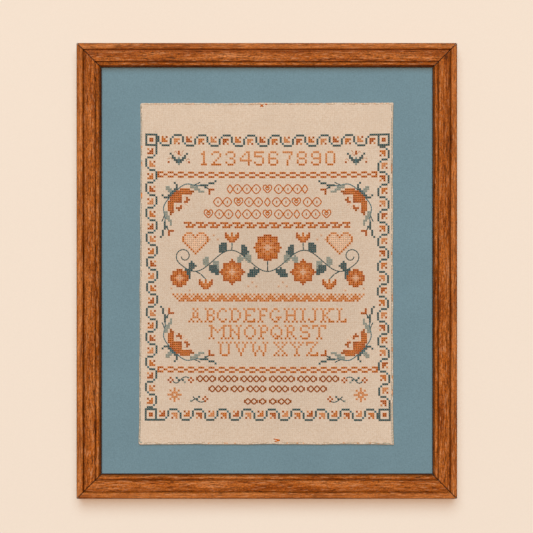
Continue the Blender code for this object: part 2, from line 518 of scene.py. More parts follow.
def cloth_material():
    """Cream evenweave. Its UV map holds the column and the row of the stitch grid."""
    look = Look("cream_evenweave")
    column, row, _ = look.node("ShaderNodeTexCoord", output="UV").parts()
    world = look.node("ShaderNodeNewGeometry", output="Position")

    # Threads run both ways, with holes at the corners of their blocks
    turn = 2.0 * math.pi * THREADS_IN_BLOCK
    weave = abs((column * turn).calculated("SINE")) + abs((row * turn).calculated("SINE"))
    near = [abs((line * math.pi).calculated("COSINE")).remapped(0.80, 1.0) for line in (column, row)]
    hole = near[0] * near[1]

    # Slubs run both ways, and each place has its own fine mottle
    slubs = look.noise(world, (300.0, 300.0, 1300.0)) + look.noise(world, (1300.0, 300.0, 300.0))
    cloudy = look.noise(world, 60.0, 3.0)
    shade = slubs.remapped(0.7, 1.3, 0.975, 1.025) * cloudy.remapped(0.3, 0.7, 0.98, 1.02)
    # Painted shade in the holes of the weave
    shade = shade * hole.remapped(0.0, 1.0, 1.0, 0.82)

    # Painted shade darkens the middle of the stitched field, most of all in its lower middle
    from_middle = (column - COLUMNS / 2) * 0.02
    painted_field_shade = (from_middle * from_middle * -0.4).calculated("ADD", 1.0, clamp=True)
    rise = row.remapped(-25.0, 75.0, smooth=True)
    fall = row.remapped(90.0, 200.0, 1.0, 0.0, smooth=True)
    painted_field_shade = painted_field_shade * (rise * fall)
    shade = shade * painted_field_shade.remapped(0.0, 1.0, 1.0, 0.86)
    mottle = look.noise(world, 850.0, 2.0, 0.8)
    colour = look.mix(mottle.remapped(0.32, 0.68), CLOTH_DARK, CLOTH_LIGHT)
    colour = look.mix(1.0, colour, shade, "MULTIPLY")
    return look.dress(colour, 0.95, 0.10, weave, 0.00004, 0.5)


def thread_material(name, colour, painted_dip_shade):
    """Stranded cotton. painted_dip_shade is how light the painted shade leaves it where it dips into the
    cloth or is crossed.

    The UV map counts strands along and runs across them from -1 to 1.
    """
    look = Look("cotton_" + name)
    along, across, _ = look.node("ShaderNodeTexCoord", output="UV").parts()
    world = look.node("ShaderNodeNewGeometry", output="Position")

    # Two strands lie side by side, each of twisted plies
    split = abs(across)
    strand = (split * math.pi).calculated("SINE")
    plies = ((along * PLY_TURNS + split * PLY_SLANT) * (2.0 * math.pi)).calculated("SINE")
    relief = strand + plies * 0.18

    # Painted shade: the thread is darkest where a leg is crossed and where a line of backstitch dips, and
    # painted lighter between
    patch = look.noise(world, 520.0, 1.0)
    fuzz = look.noise(world, 3200.0)
    shade = patch.remapped(0.30, 0.70, 0.92, 1.10) * fuzz.remapped(0.30, 0.70, 0.88, 1.12)
    from_painted_shade = abs(along.calculated("FRACT") - 0.5)
    shade = shade * from_painted_shade.remapped(0.10, 0.36, painted_dip_shade, 1.66 - 0.64 * painted_dip_shade, smooth=True)
    return look.dress(look.mix(1.0, colour, shade, "MULTIPLY"), 0.70, 0.14, relief, 0.00010, 0.7)


# Frame


def bead(start, width, foot, crown, segments, fullness=2.0):
    """A bead from start to start + width, that rises by crown. It is half round at fullness 2."""
    points = []
    for step in range(segments + 1):
        angle = math.pi * (1 - step / segments)
        aside = math.copysign(abs(math.cos(angle)) ** (2 / fullness), math.cos(angle))
        height = foot + crown * abs(math.sin(angle)) ** (2 / fullness)
        points.append((start + width / 2 * (1 + aside), height))
    return points


def moulding_section(trim):
    """The rail's section, as (distance from the outer edge, height above the back).

    trim is how much is taken off its sight edge.
    """
    back_face_width = RAIL_WIDTH - LIP_WIDTH
    outline = [(-OUTER_PROUD, OUTER_BEAD_FOOT * share) for share in (0.0, 0.35, 0.7)]
    width = OUTER_BEAD_WIDTH + OUTER_PROUD
    rise = RAIL_DEPTH - OUTER_BEAD_FOOT
    outline += bead(-OUTER_PROUD, width, OUTER_BEAD_FOOT, rise, OUTER_BEAD_STEPS, OUTER_BEAD_FULLNESS)

    # Outer groove with a round floor, then the broad band
    for share, height in OUTER_GROOVE:
        outline.append((OUTER_BEAD_WIDTH + OUTER_GROOVE_WIDTH * share, OUTER_GROOVE_FLOOR + height))
    for step in range(BAND_STEPS + 1):
        share = step / BAND_STEPS
        across = BAND_START + (BAND_END - BAND_START) * share
        outline.append((across, BAND_LOW + (BAND_HIGH - BAND_LOW) * math.sin(share * math.pi / 2)))

    # Inner groove and inner bead
    for share, height in INNER_GROOVE:
        outline.append((BAND_END + INNER_GROOVE_WIDTH * share, INNER_GROOVE_FLOOR + height))
    bead_start = BAND_END + INNER_GROOVE_WIDTH
    outline += bead(bead_start, INNER_BEAD_WIDTH, BAND_LOW, INNER_BEAD_CROWN, INNER_BEAD_STEPS)

    # Step down, sight edge with its arris taken off, lip and rabbet
    bead_end = bead_start + INNER_BEAD_WIDTH
    outline.append((bead_end + (RAIL_WIDTH - bead_end) * 0.25, BAND_LOW - SIGHT_STEP))
    sight = RAIL_WIDTH - trim
    outline.append((sight - SIGHT_EDGE_ROUND, SIGHT_EDGE_HEIGHT + SIGHT_EDGE_ROUND * 0.8))
    outline.append((sight, SIGHT_EDGE_HEIGHT - SIGHT_EDGE_ROUND * 0.3))
    outline.append((sight, RABBET_DEPTH))
    outline.append((back_face_width, RABBET_DEPTH))
    outline.append((back_face_width, 0.0))
    return outline


def make_rail(name, node, quarter, seed, groove_shade, trim):
    """One mitred length of moulding, drawn as a top rail and turned to its own side."""
    length, span = (FRAME_HEIGHT, FRAME_WIDTH) if quarter % 2 else (FRAME_WIDTH, FRAME_HEIGHT)
    section = moulding_section(trim)
    setback = GAP / math.sqrt(2)
    vertices = []
    for station in range(RAIL_STATIONS + 1):
        share = 2 * station / RAIL_STATIONS - 1
        for across, height in section:
            x = share * (length / 2 - across - setback)
            worked = 0.0
            if height > INNER_GROOVE_FLOOR - GAP:
                worked = RAIL_WAVER * noise_at(x * 35, across * 500, seed)
            vertices.append((x, -height - worked, -across))
    ring = len(section)
    faces = []
    for station in range(RAIL_STATIONS):
        start = station * ring
        for side in range(ring):
            after = (side + 1) % ring
            faces.append((start + side, start + after, start + ring + after, start + ring + side))
    faces.append(tuple(reversed(range(ring))))
    faces.append(tuple(range(RAIL_STATIONS * ring, (RAIL_STATIONS + 1) * ring)))
    material = oak_material("oak_" + name, (seed * 3.7, seed * 1.3, seed * 5.9), length, groove_shade)
    rail = make_mesh("moulding_" + name, vertices, faces, material)
    rail.data.set_sharp_from_angle(angle=math.radians(38))
    outer_edge = Matrix.Translation((0.0, 0.0, span / 2))
    turned = Matrix.Rotation(quarter * math.pi / 2, 4, "Y")
    rail.matrix_world = Matrix.Translation(MIDDLE) @ turned @ outer_edge
    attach(rail, "root")
    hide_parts(node)


# Cloth


def grid_point(column, row):
    """x and z of a place on the stitch grid, from the middle of the frame."""
    row = np.asarray(row, float)
    across = np.asarray(column, float) / COLUMNS
    down = row / ROWS
    place = []
    for axis in (0, 1):
        top = GRID_TOP_LEFT[axis] + (GRID_TOP_RIGHT[axis] - GRID_TOP_LEFT[axis]) * across
        bottom = GRID_BOTTOM_LEFT[axis] + (GRID_BOTTOM_RIGHT[axis] - GRID_BOTTOM_LEFT[axis]) * across
        place.append(top + (bottom - top) * down)

    # The weave is drawn in at mid height and sags between its ends
    rows, *strays = zip(*GRID_LIE)
    left, right, ends, middle = (np.interp(row, rows, stray) for stray in strays)
    sag = np.sin(math.pi * np.clip(across, 0.0, 1.0)) ** 0.7
    place[0] = place[0] + left + (right - left) * across
    place[1] = place[1] - ends - (middle - ends) * sag
    return place


def undulation(x, z):
    """How far the cloth stands proud of flat at a place."""
    waves = np.sin(x * 74 + 0.6) * np.sin(z * 51 + 1.1) + 0.6 * np.sin(x * 121 + z * 90)
    return UNDULATION * waves / 1.6


def on_cloth(column, row, lift):
    """Places in the row frame, at a height above the cloth's face."""
    x, z = grid_point(column, row)
    y = -(CLOTH_FRONT + undulation(x, z) + lift)
    return np.stack([x + MIDDLE.x, y, z + MIDDLE.z], axis=-1)


def edge_wave(distance, side):
    """How far the cloth's edge strays outwards, at a distance along one of its sides."""
    stray = 0.0
    for length, height, start in EDGE_WAVES:
        stray += height * math.sin(2 * math.pi * distance / length + start + 1.7 * side)
    return stray


def edge_point(side, share, inset=0.0):
    """A place on one side of the cloth, with the sides counted anticlockwise from the bottom."""
    start = Vector(CLOTH_CORNERS[side][:2])
    run = Vector(CLOTH_CORNERS[(side + 1) % 4][:2]) - start
    outward = Vector((run.y, -run.x)).normalized()
    bow = max(0.0, math.sin(math.pi * share))
    stray = edge_wave(run.length * share, side) * bow ** 0.5
    drawn_in = EDGE_DRAWN_IN[side] * min(1.0, bow * 4) ** 0.5
    return start + run * share + outward * (stray - drawn_in - inset)


def rounded_corner(x, z):
    """Takes a place in one of the cloth's square corners to its round one."""
    for corner_x, corner_z, radius in CLOTH_CORNERS:
        radius_x = math.copysign(radius, corner_x)
        radius_z = math.copysign(radius, corner_z)
        a = (x - (corner_x - radius_x)) / radius_x
        b = (z - (corner_z - radius_z)) / radius_z
        if a > 0 and b > 0:
            a, b = min(a, 1.1), min(b, 1.1)
            round_a = a * math.sqrt(1 - b * b / 2)
            round_b = b * math.sqrt(1 - a * a / 2)
            return corner_x - radius_x + round_a * radius_x, corner_z - radius_z + round_b * radius_z
    return x, z


def mesh_lines(start, end, first, count):
    """Lines of the cloth's mesh: close together at the rim, and two to a stitch inside it."""
    lines = [start + step for step in RIM_STEPS]
    lines += [first + step / 2 for step in range(count)]
    lines += [end - step for step in reversed(RIM_STEPS)]
    return lines


def cloth_place(column, row):
    """A vertex of the cloth's front, with the dips and rises of the weave."""
    left, right = COLUMN_LINES[:2]
    top, bottom = ROW_LINES[:2]
    x, z = (float(value) for value in grid_point(column, row))
    down = (row - top) / (bottom - top)
    along = (column - left) / (right - left)

    # Pull the outermost lines of the grid to the cloth's real edge
    near_left = max(0.0, 1 - (column - left) / SIDE_FADE)
    near_right = max(0.0, 1 - (right - column) / SIDE_FADE)
    near_top = max(0.0, 1 - (row - top) / END_FADE)
    near_bottom = max(0.0, 1 - (bottom - row) / END_FADE)
    if near_left > 0:
        x += near_left * (edge_point(3, down).x - float(grid_point(left, row)[0]))
    if near_right > 0:
        x += near_right * (edge_point(1, 1 - down).x - float(grid_point(right, row)[0]))
    if near_top > 0:
        z += near_top * (edge_point(2, 1 - along).y - float(grid_point(column, top)[1]))
    if near_bottom > 0:
        z += near_bottom * (edge_point(0, along).y - float(grid_point(column, bottom)[1]))
    x, z = rounded_corner(x, z)

    from_edge = min(column - left, right - column, row - top, bottom - row) * CELL
    inside = min(1.0, from_edge / CLOTH_EDGE_ROUND)
    drop = CLOTH_EDGE_ROUND * (1 - math.sqrt(1 - (1 - inside) ** 2))
    hole = abs(math.cos(math.pi * column) * math.cos(math.pi * row))
    block = abs(math.sin(math.pi * column) * math.sin(math.pi * row))
    relief = (BLOCK_CROWN * block - HOLE_DEPTH * hole ** 4) * (inside == 1.0)
    height = CLOTH_FRONT + relief - drop + float(undulation(x, z)) * inside
    return x, -height, z + MIDDLE.z


def make_cloth(material):
    columns = mesh_lines(*COLUMN_LINES)
    rows = mesh_lines(*ROW_LINES)
    wide = len(columns)
    tall = len(rows)
    uvs = [(column, row) for row in rows for column in columns]
    vertices = [cloth_place(column, row) for column, row in uvs]
    faces = []
    for row in range(tall - 1):
        for column in range(wide - 1):
            first = row * wide + column
            faces.append((first, first + wide, first + wide + 1, first + 1))

    # Rim and back
    around = [row * wide for row in range(tall)]
    around += [(tall - 1) * wide + column for column in range(1, wide)]
    around += [row * wide + wide - 1 for row in range(tall - 2, -1, -1)]
    around += list(range(wide - 2, 0, -1))
    first_back = len(vertices)
    for vertex in around:
        x, _, z = vertices[vertex]
        vertices.append((x, -CLOTH_BACK, z))
        uvs.append(uvs[vertex])
    count = len(around)
    for step in range(count):
        after = (step + 1) % count
        faces.append((around[after], around[step], first_back + step, first_back + after))
    faces.append(tuple(range(first_back, first_back + count)))

    cloth = make_mesh("evenweave_cloth", vertices, faces, material)
    set_uvs(cloth, "grid", uvs)
    cloth.data.set_sharp_from_angle(angle=math.radians(60))
    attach(cloth, "root")
    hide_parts("sampler_cloth")
    return cloth


# Thread on the cloth


def strand_mesh(name, paths, widths, heights, material, phase=0.0):
    """Joins many short half round strands into one piece.

    paths has a place for each strand, station and axis. widths and heights have one
    value for each station. Each strand is one unit long in the UV map, from phase on.
    """
    paths = np.asarray(paths, float)
    count, stations = paths.shape[:2]
    across_steps = np.array([-1.0, -0.62, 0.0, 0.62, 1.0])
    rise_steps = np.array([-0.25, 0.72, 1.0, 0.72, -0.25])
    around = len(across_steps)

    heading = np.gradient(paths, axis=1)
    heading[..., 1] = 0.0
    heading /= np.linalg.norm(heading, axis=2, keepdims=True) + 1e-12
    sideways = np.stack([heading[..., 2], np.zeros_like(heading[..., 0]), -heading[..., 0]], axis=-1)
    out = np.array([0.0, -1.0, 0.0])
    widths = np.broadcast_to(np.asarray(widths, float), (count, stations))
    heights = np.broadcast_to(np.asarray(heights, float), (count, stations))
    spread = sideways[:, :, None, :] * (across_steps[:, None] * widths[:, :, None, None] / 2)
    lift = out * (rise_steps[:, None] * heights[:, :, None, None])
    vertices = (paths[:, :, None, :] + spread + lift).reshape(-1, 3)

    corner = np.arange(stations - 1)[:, None] * around + np.arange(around - 1)[None, :]
    quads = np.stack([corner, corner + around, corner + around + 1, corner + 1], axis=-1)
    strand_starts = np.arange(count)[:, None, None] * stations * around
    faces = (quads.reshape(-1, 4)[None] + strand_starts).reshape(-1, 4)
    piece = make_mesh(name, vertices.tolist(), faces.tolist(), material)

    along = np.linspace(0.002, 0.998, stations)[None, :] + np.arange(count)[:, None] + phase
    u = np.broadcast_to(along[:, :, None], (count, stations, around))
    v = np.broadcast_to(across_steps[None, None, :], (count, stations, around))
    set_uvs(piece, "strand", np.stack([u, v], axis=-1).reshape(-1, 2))
    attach(piece, "root")


def steady_random(index, seed):
    """A repeatable number from 0 to 1 for each index."""
    value = np.sin(np.asarray(index, float) * 12.9898 + seed * 78.233) * 43758.5453
    return value - np.floor(value)


def make_crosses(name, cells, material):
    """One cross stitch in each cell: a leg that rises to the right under one that falls."""
    cells = np.asarray(sorted(cells), float)
    index = np.arange(len(cells)) + cells[:, 0] * 7 + cells[:, 1] * 131
    stations = np.array([0.0, 0.16, 0.5, 0.84, 1.0])
    arch = np.array([-0.7, 0.55, 1.0, 0.55, -0.7])
    body = np.array([0.70, 0.98, 1.0, 0.98, 0.70])
    paths = []
    for leg, (start_row, end_row, over) in enumerate(((1.0, 0.0, 0.0), (0.0, 1.0, 1.0))):
        wobble = (steady_random(index, 3 + leg) - 0.5) * 0.10
        fullness = 0.85 + 0.3 * steady_random(index, 9 + leg)
        reach = LEG_INSET + (1 - 2 * LEG_INSET) * stations
        column = cells[:, :1] + reach[None, :] + wobble[:, None] * (1 - np.abs(2 * stations - 1))
        row = cells[:, 1:] + start_row + (end_row - start_row) * reach[None, :]
        lift = LEG_HEIGHT * 0.45 * arch[None, :] * fullness[:, None]
        lift = lift + over * LEG_HEIGHT * 0.75 * np.array([0.0, 0.5, 1.0, 0.5, 0.0])
        paths.append(on_cloth(column, row, lift))
    paths = np.concatenate(paths)
    strand_mesh(name, paths, LEG_WIDTH * body, LEG_HEIGHT * body, material)


def make_lines(name, lines, width, material):
    """Backstitch: each line is a run of places on the grid, with a stitch between each two."""
    starts = []
    ends = []
    for line in lines:
        starts += line[:-1]
        ends += line[1:]
    starts = np.asarray(starts, float)
    ends = np.asarray(ends, float)
    stations = np.array([0.0, 0.14, 0.5, 0.86, 1.0])
    arch = np.array([-0.5, 0.7, 1.0, 0.7, -0.5])
    reach = 0.03 + 0.94 * stations
    column = starts[:, :1] + (ends[:, :1] - starts[:, :1]) * reach
    row = starts[:, 1:] + (ends[:, 1:] - starts[:, 1:]) * reach
    lift = np.broadcast_to(LINE_HEIGHT * 0.5 * arch, column.shape) + LINE_HEIGHT * 0.3
    body = np.array([0.6, 1.0, 1.05, 1.0, 0.6])
    strand_mesh(name, on_cloth(column, row, lift), width * body, LINE_HEIGHT * body, material, phase=0.5)


# Charts: each letter stands for a thread colour
CHART_COLOURS = {
    "t": "dark_teal",
    "b": "blue_teal",
    "g": "grey_green",
    "d": "dark_rust",
    "r": "rust",
    "m": "mid_orange",
    "o": "petal_orange",
    "l": "light_orange",
    "p": "peach",
    "q": "pale_peach",
}

NUMERALS = {
    "1": "...l. ..ll. ...l. ...l. ...l. ...l. ..lll",
    "2": ".lll. l...l ....l ...l. ..l.. .l... lllll",
    "3": ".lll. l...l ....l ..ll. ....l l...l .lll.",
    "4": "...ll. ..l.l. .l..l. l...l. llllll ....l. ....l.",
    "5": "lllll l.... llll. ....l ....l l...l .lll.",
    "6": ".lll. l...l l.... llll. l...l l...l .lll.",
    "7": "lllll ....l ...l. ...l. ..l.. ..l.. ..l..",
    "8": ".lll. l...l l...l .lll. l...l l...l .lll.",
    "9": ".lll. l...l l...l .llll ....l l...l .lll.",
    "0": ".lll. l...l l...l l...l l...l l...l .lll.",
}
NUMERAL_ROW = 8
NUMERAL_COLUMN = 25.35  # the numerals stand a little to the right of the border's columns
NUMERAL_PITCH = 7

LETTERS = {
    "A": "..l.l.. ...l... ..l.l.. ..l.l.. ..lll.. .l...l. lll.lll",
    "B": "llll. .l..l .l..l .lll. .l..l .l..l llll.",
    "C": "..ll. .l..l l.... l.... l.... .l..l ..ll.",
    "D": "llll.. .l..l. .l...l .l...l .l...l .l..l. llll..",
    "E": "llllll .l...l .l.... .lll.. .l.... .l...l llllll",
    "F": "lllll .l..l .l... .lll. .l... .l... lll..",
    "G": "..ll.. .l..l. l..... l..... l..lll .l..l. ..ll..",
    "H": "lll.lll .l...l. .l...l. .lllll. .l...l. .l...l. lll.lll",
    "I": "lll .l. .l. .l. .l. .l. lll",
    "J": "..lll ...l. ...l. ...l. ...l. l..l. .ll..",
    "K": "lll.lll .l..l.. .l.l... .ll.... .l.l... .l..l.. lll.lll",
    "L": "lll.. .l... .l... .l... .l... .l..l lllll",
    "M": "ll.....ll .ll...ll. .l.l.l.l. .l..l..l. .l.....l. .l.....l. lll...lll",
    "N": "ll..lll .l...l. .ll..l. .l.l.l. .l..ll. .l...l. lll..l.",
    "O": "..ll.. .l..l. l....l l....l l....l .l..l. ..ll..",
    "P": "llll. .l..l .l..l .lll. .l... .l... lll..",
    "Q": "..ll.. .l..l. l....l l....l l.l..l .l.ll. ..ll.l",
    "R": "llll.. .l..l. .l..l. .lll.. .l.l.. .l..l. lll..l",
    "S": ".lll. l...l l.... .lll. ....l l...l .lll.",
    "T": "lllllll l..l..l ...l... ...l... ...l... ...l... ..lll..",
    "U": "lll.lll .l...l. .l...l. .l...l. .l...l. .l...l. ..lll..",
    "V": "lll.lll .l...l. .l...l. ..l.l.. ..l.l.. ...l... ...l...",
    "W": "lll...lll .l.....l. .l..l..l. .l..l..l. .l.l.l.l. ..l...l.. ..l...l..",
    "X": "lll.lll .l...l. ..l.l.. ...l... ..l.l.. .l...l. lll.lll",
    "Y": "lll.lll .l...l. ..l.l.. ...l... ...l... ...l... ..lll..",
    "Z": "llllll l...l. ...l.. ..l... ..l... .l...l llllll",
}
ALPHABET_ROWS = (
    # first row, first column, letters
    (84, 21, "ABCDEFGHIJKL"),
    (92, 31, "M"),
    (92, 40.4, "NOPQR"),
    (92, 76, "ST"),
    (100, 35.5, "UVW"),
    (100, 62.9, "XYZ"),
)

BUD_CHART = (
    ".....r.....",
    ".t...r...t.",
    "..t.....t..",
    "..tt.g.tt..",
    "...ttbtt...",
    "r...tbt...r",
    ".....g.....",
)
BUD_PLACE = (11, 8)
BUD_PETALS = (
    ((14.2, 8.9), (15.0, 8.1), (15.6, 9.2), (16.1, 9.8)),
    ((16.9, 9.1), (17.4, 10.5), (18.1, 9.8), (18.0, 8.6), (18.9, 7.8)),
    ((11.1, 12.3), (11.3, 11.6), (12.1, 11.6), (12.8, 11.5), (13.3, 12.4)),
    ((20.2, 13.0), (20.4, 12.1), (21.2, 11.8), (21.8, 12.3)),
)

# Corner spray: the half of it on one side of its diagonal, which is repeated on the other
SPRAY = (
    "...........................t",
    ".......t................ttt",
    "........t......gg...tttt",
    "...gg...t......gggg...t",
    "....gg.tt.roooo..ggg....rrr",
    ".....gbtrrooooodd..ggg..r",
    "......trrrooorrr........r",
    ".......rooo",
    "........oor..r",
    ".........rr..rd",
    "..........d.rr",
)
SPRAY_STEM = (
    (9.0, 4.6), (9.9, 3.7), (10.7, 3.1), (11.6, 2.6), (12.6, 2.1), (13.8, 1.9),
    (15.0, 2.0), (16.3, 2.3), (17.6, 2.7), (19.0, 2.7), (20.3, 2.5),
)
SPRAY_TWIGS = (
    ((17.2, 2.3), (18.6, 1.8), (20.1, 1.0)),
    ((22.7, 3.3), (24.2, 4.3)),
)
SPRAY_FILAMENTS = (
    ((11.4, 8.3), (12.6, 8.0), (13.2, 8.4)),
    ((11.6, 10.6), (12.8, 11.6), (13.9, 12.2)),
    ((14.6, 7.6), (15.6, 7.2)),
)
SPRAY_PLACES = (
    # first column, first row, step across, step down
    (7, 22, 1, 1),
    (112, 22, -1, 1),
    (7, 110, 1, -1),
    (112, 110, -1, -1),
)

# Sprigs near the lower corners: four stitch flowers, joined by a curling stem
SPRIG = (
    ".r..t......r",
    "r.r..t.t..r.r",
    ".r......g..r",
    "",
    "",
    "",
    "",
    "",
    "",
    "...............t..r",
    "..............t..r.r",
    "...........g......r",
)
SPRIG_PLACE = (11, 117)
SPRIG_LINES = (
    (
        (13.6, 119.1), (14.7, 119.9), (15.8, 119.9), (16.7, 119.1),
        (17.4, 118.4), (18.3, 117.5), (19.4, 117.0),
    ),
    ((19.4, 117.0), (20.5, 117.0), (21.6, 117.6)),
    (
        (23.4, 126.3), (24.1, 127.0), (25.0, 127.7), (25.9, 128.5),
        (27.2, 129.0), (28.6, 128.9), (29.2, 128.4),
    ),
    ((22.6, 128.8), (23.5, 128.1), (24.6, 127.4)),
)

# Tacking left in the margins, and a loose end at one corner
TACKING = (
    ((56.4, -14.5), (58.0, -13.3)),
    ((56.4, -13.3), (57.9, -14.5)),
    ((58.7, -14.6), (59.9, -14.4)),
    ((62.7, 146.6), (66.1, 147.2), (63.2, 147.9)),
)
LOOSE_END = ((-2.6, 146.8), (-2.4, 148.2), (-1.2, 148.4))

# Light star beside the lower rows
STAR = (
    "...l...",
    ".l.l.l.",
    "..lll..",
    "lll.lll",
    "..lll..",
    ".l.l.l.",
    "...l...",
)
STAR_PLACE = (11, 122)

# Middle band: a waving vine with flowers, hearts and tulips
TULIP = (
    "r..m..r",
    "rm.m.mr",
    "rmmlmmr",
    ".rmlmr.",
    "..rmr..",
)
TULIP_PLACES = ((39, 47), (26, 70))
HEART = (
    "..lll...lll..",
    ".mqqqm.mqqqm.",
    "mqqqqqmqqqqqm",
    "mqqqqqqqqqqqm",
    "mqqqqqqqqqqqm",
    ".mqqqqqqqqqm.",
    "..mqqqqqqqm..",
    "...mqqqqqm...",
    "....mqqqm....",
    ".....mqm.....",
    "......m......",
)
HEART_PLACE = (18, 47)
VINE_ROW = 61.0
VINE_SWING = 5.2
VINE_PERIOD = 36
VINE_END = 16  # column where it starts to curl
CURL_RADIUS = 4.2
CURL_START = 131.8  # degrees
CURL_TURN = 25  # degrees from one point to the next
CURL_STEPS = 16
CURL_TIGHTENS = 0.68  # share of the radius that is lost by its end
VINE_FLOWERS = ((60, 54.5, 6.6), (42.5, 66.5, 5.8), (16.5, 69.5, 4.6))  # column, row, radius
VINE_BERRIES = ((52, 71), (50, 73), (54, 73), (33, 48), (31, 50), (35, 50), (12, 74), (21, 75))
VINE_LEAVES = (
    # colour, column, side of the vine, length, width, turn
    ("dark_teal", 56, 1, 7.0, 4.2, 205),
    ("grey_green", 52, -1, 6.0, 3.8, 130),
    ("dark_teal", 49, -1, 6.5, 4.0, 100),
    ("grey_green", 47, 1, 5.0, 3.2, 250),
    ("dark_teal", 37, -1, 6.5, 4.0, 70),
    ("grey_green", 34, 1, 5.5, 3.4, 290),
    ("dark_teal", 31, 1, 7.0, 4.2, 320),
    ("grey_green", 29, -1, 5.5, 3.4, 75),
    ("dark_teal", 19, 1, 6.5, 4.0, 300),
    ("dark_teal", 23, -1, 5.0, 3.4, 95),
)
VINE_STALKS = (
    ((42.5, 52), (42.5, 54), (42.3, 55.6)),
    ((60, 61), (60, 63.5), (60, 66.2)),
    ((24.5, 66.2), (27, 67.5), (29, 69.6), (29.5, 70)),
)


class Work:
    """Collects the cross stitches and the backstitch lines of the whole sampler."""

    def __init__(self):
        self.crosses = {}
        self.lines = {}

    def cross(self, colour, column, row):
        for cells in self.crosses.values():
            cells.discard((column, row))
        self.crosses.setdefault(colour, set()).add((column, row))

    def cross_both_sides(self, colour, column, row):
        """A cross, and the same mirrored over the sampler's middle."""
        self.cross(colour, column, row)
        self.cross(colour, COLUMNS - 1 - column, row)

    def line(self, colour, points, weight="fine"):
        self.lines.setdefault((colour, weight), []).append([tuple(point) for point in points])

    def line_both_sides(self, colour, points, weight="fine"):
        self.line(colour, points, weight)
        self.line(colour, [(COLUMNS - column, row) for column, row in points], weight)

    def chart(self, rows, first_column, first_row, step_across=1, step_down=1):
        for down, row in enumerate(rows):
            for across, mark in enumerate(row):
                if mark in CHART_COLOURS:
                    place = (first_column + step_across * across, first_row + step_down * down)
                    self.cross(CHART_COLOURS[mark], *place)

    def chart_both_sides(self, rows, first_column, first_row):
        self.chart(rows, first_column, first_row)
        self.chart(rows, COLUMNS - 1 - first_column, first_row, -1)


def border_sides():
    """The four sides in the order of the meander: length, start in the wave, cell finder."""
    last_column = COLUMNS - 1
    last_row = ROWS - 1
    side_rows = ROWS - 2 * BORDER_DEPTH
    end_columns = COLUMNS - 2 * BORDER_DEPTH
    return (
        (end_columns, 6, lambda along, across: (last_column - BORDER_DEPTH - along, across)),
        (side_rows, 0, lambda along, across: (across, BORDER_DEPTH + along)),
        (end_columns, 6, lambda along, across: (BORDER_DEPTH + along, last_row - across)),
        (side_rows, 6, lambda along, across: (last_column - across, last_row - BORDER_DEPTH - along)),
    )


def stitch_border(work):
    """Corner squares, and a meander with a small bud in every bend."""
    for corner_column in (0, COLUMNS - BORDER_DEPTH):
        for corner_row in (0, ROWS - BORDER_DEPTH):
            work.chart(CORNER_SQUARE, corner_column, corner_row)

    bend = 0
    for length, phase, cell in border_sides():
        for along in range(length):
            step = (along + phase) % WAVE_PERIOD
            for across, marks in enumerate(WAVE):
                if marks[step] in CHART_COLOURS:
                    work.cross(CHART_COLOURS[marks[step]], *cell(along, across))
            if step not in (0, WAVE_PERIOD / 2):
                continue
            body, accent = MOTIF_COLOURS[bend % len(MOTIF_COLOURS)]
            bend += 1
            for ahead, depth in MOTIF_CELLS:
                across = 4 - depth if step == 0 else 1 + depth
                colour = accent if (ahead, depth) == ACCENT_CELL else body
                work.cross(colour, *cell(along + ahead, across))


def stitch_bands(work):
    """Chain bands above and below, the rope and the slanted check band."""
    for row in CHAIN_ROWS:
        for link in range(CHAIN_LINKS):
            start = BORDER_DEPTH + LINK_LENGTH * link
            for column in range(start, start + 3):
                colour = "rust" if column % LINK_LENGTH == 2 else "mid_orange"
                work.cross(colour, column, row)
                work.cross(colour, column, row + 2)
            if link < CHAIN_LINKS - 1:
                work.cross("rust", start + 3, row + 1)
                work.cross("mid_orange", start + 4, row + 1)
        work.cross_both_sides("rust", BORDER_DEPTH, row + 1)

    for turn in range(ROPE_TURNS):
        start = ROPE_START + 6 * turn
        for row, columns in ROPE:
            for column in columns:
                if turn < ROPE_TURNS - 1 or column < 4:
                    colour = "mid_orange" if (column + row) % 3 else "rust"
                    work.cross(colour, start + column, row)

    # Each row of checks is a little shorter than the one above
    for down, marks in enumerate(CHECKS):
        checks = (marks * CHECK_COLUMNS)[down : CHECK_COLUMNS - down]
        work.chart((checks,), CHECK_PLACE[0] + down, CHECK_PLACE[1] + down)


def split_serifs(rows):
    """Opens every serif at the end of its stem, so that it spreads like a fishtail."""
    opened = [list(row) for row in rows]
    for end, beside in ((0, 1), (-1, -2)):
        for column in range(1, len(rows[0]) - 1):
            bar = rows[end][column - 1 : column + 2]
            if "." not in bar and rows[beside][column] != ".":
                opened[end][column] = "."
    return ["".join(row) for row in opened]


def darker_foot(rows):
    return rows[:-2] + [row.replace("l", "m") for row in rows[-2:]]


def stitch_figures(work):
    """Numerals and alphabet, with the lower stitches of each a shade darker."""
    for index, numeral in enumerate("1234567890"):
        first_column = NUMERAL_COLUMN + NUMERAL_PITCH * index
        work.chart(darker_foot(NUMERALS[numeral].split()), first_column, NUMERAL_ROW)
    for first_row, column, letters in ALPHABET_ROWS:
        for letter in letters:
            rows = LETTERS[letter].split()
            work.chart(darker_foot(split_serifs(rows)), column, first_row)
            column += len(rows[0]) + 1


def stitch_sprays(work):
    """A flower in each corner, with a stem and leaves that run along both sides."""
    lines = [("blue_teal", "stem", SPRAY_STEM)]
    lines += [("dark_teal", "stem", twig) for twig in SPRAY_TWIGS]
    lines += [("peach", "fine", filament) for filament in SPRAY_FILAMENTS]
    other_half = ["".join(marks) for marks in zip_longest(*SPRAY, fillvalue=".")]
    for first_column, first_row, across_step, down_step in SPRAY_PLACES:
        for rows in (SPRAY, other_half):
            work.chart(rows, first_column, first_row, across_step, down_step)
        edge_column = first_column if across_step > 0 else first_column + 1
        edge_row = first_row if down_step > 0 else first_row + 1
        for colour, weight, line in lines:
            for places in (line, [(b, a) for a, b in line]):
                points = [(edge_column + across_step * a, edge_row + down_step * b) for a, b in places]
                work.line(colour, points, weight)


